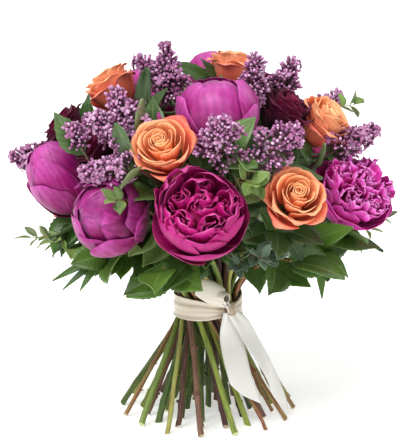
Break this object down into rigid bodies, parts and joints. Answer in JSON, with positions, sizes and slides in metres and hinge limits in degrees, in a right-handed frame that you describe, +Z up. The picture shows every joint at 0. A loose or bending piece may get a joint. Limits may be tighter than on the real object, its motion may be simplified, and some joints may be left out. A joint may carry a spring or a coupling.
{
  "type": "lilac bouquet",
  "caption": "Hand-tied round bouquet of magenta peonies, orange and dark red roses, lilac and greenery, with spiral stems, bound with twine and a cream satin bow.",
  "frame": {"origin": "middle of the floor under the bouquet, where the cut ends of the stems rest", "axes": "+Z up along the bundle of stems, -Y towards the front, where the bow is tied, +X to the right of someone who looks at the front"},
  "size_m": [0.3808, 0.3604, 0.379],
  "materials": {
    "peony_petals": "soft satin petal",
    "orange_rose_petals": "velvety petal",
    "red_rose_petals": "velvet petal",
    "lilac_florets": "matte floret",
    "leaves": "waxy leaf",
    "stems": "fresh cut stem",
    "satin_ribbon": "satin",
    "twine": "jute"
  },
  "bodies": {
    "root": {"peony_open_front": "peony_petals", "peony_bud_front_left": "peony_petals", "peony_bud_left": "peony_petals", "peony_bud_crown": "peony_petals", "peony_ruffled_right": "peony_petals", "peony_bud_crown_back": "peony_petals", "peony_bud_left_back": "peony_petals", "peony_ruffled_back": "peony_petals", "peony_bud_back_left": "peony_petals", "peony_open_back_right": "peony_petals", "rose_orange_front": "orange_rose_petals", "rose_orange_front_right": "orange_rose_petals", "rose_orange_right": "orange_rose_petals", "rose_orange_left": "orange_rose_petals", "rose_orange_crown": "orange_rose_petals", "rose_orange_back": "orange_rose_petals", "rose_orange_back_left": "orange_rose_petals", "rose_orange_left_low": "orange_rose_petals", "rose_red_far_left": "red_rose_petals", "rose_red_left": "red_rose_petals", "rose_red_right": "red_rose_petals", "rose_red_crown_right": "red_rose_petals", "rose_red_crown_left": "red_rose_petals", "rose_red_back_right": "red_rose_petals", "rose_red_back_left": "red_rose_petals", "lilac_far_left": "lilac_florets", "lilac_crown_left": "lilac_florets", "lilac_left_high": "lilac_florets", "lilac_left": "lilac_florets", "lilac_front_left": "lilac_florets", "lilac_front": "lilac_florets", "lilac_front_right": "lilac_florets", "lilac_crown_right": "lilac_florets", "lilac_crown_back": "lilac_florets", "lilac_right": "lilac_florets", "lilac_back_right": "lilac_florets", "lilac_back": "lilac_florets", "lilac_back_left": "lilac_florets", "lemon_leaf_front": "leaves", "lemon_leaf_front_left": "leaves", "lemon_leaf_left": "leaves", "lemon_leaf_back_left": "leaves", "lemon_leaf_back": "leaves", "lemon_leaf_back_right": "leaves", "lemon_leaf_right": "leaves", "lemon_leaf_front_right": "leaves", "olive_sprig_front": "leaves", "myrtle_sprig_left": "leaves", "myrtle_sprig_front_left": "leaves", "myrtle_sprig_front_right": "leaves", "myrtle_sprig_right_high": "leaves", "myrtle_sprig_right": "leaves", "binding_twine": "twine", "ribbon_band": "satin_ribbon", "ribbon_bow": "satin_ribbon"}
  },
  "joints": []
}
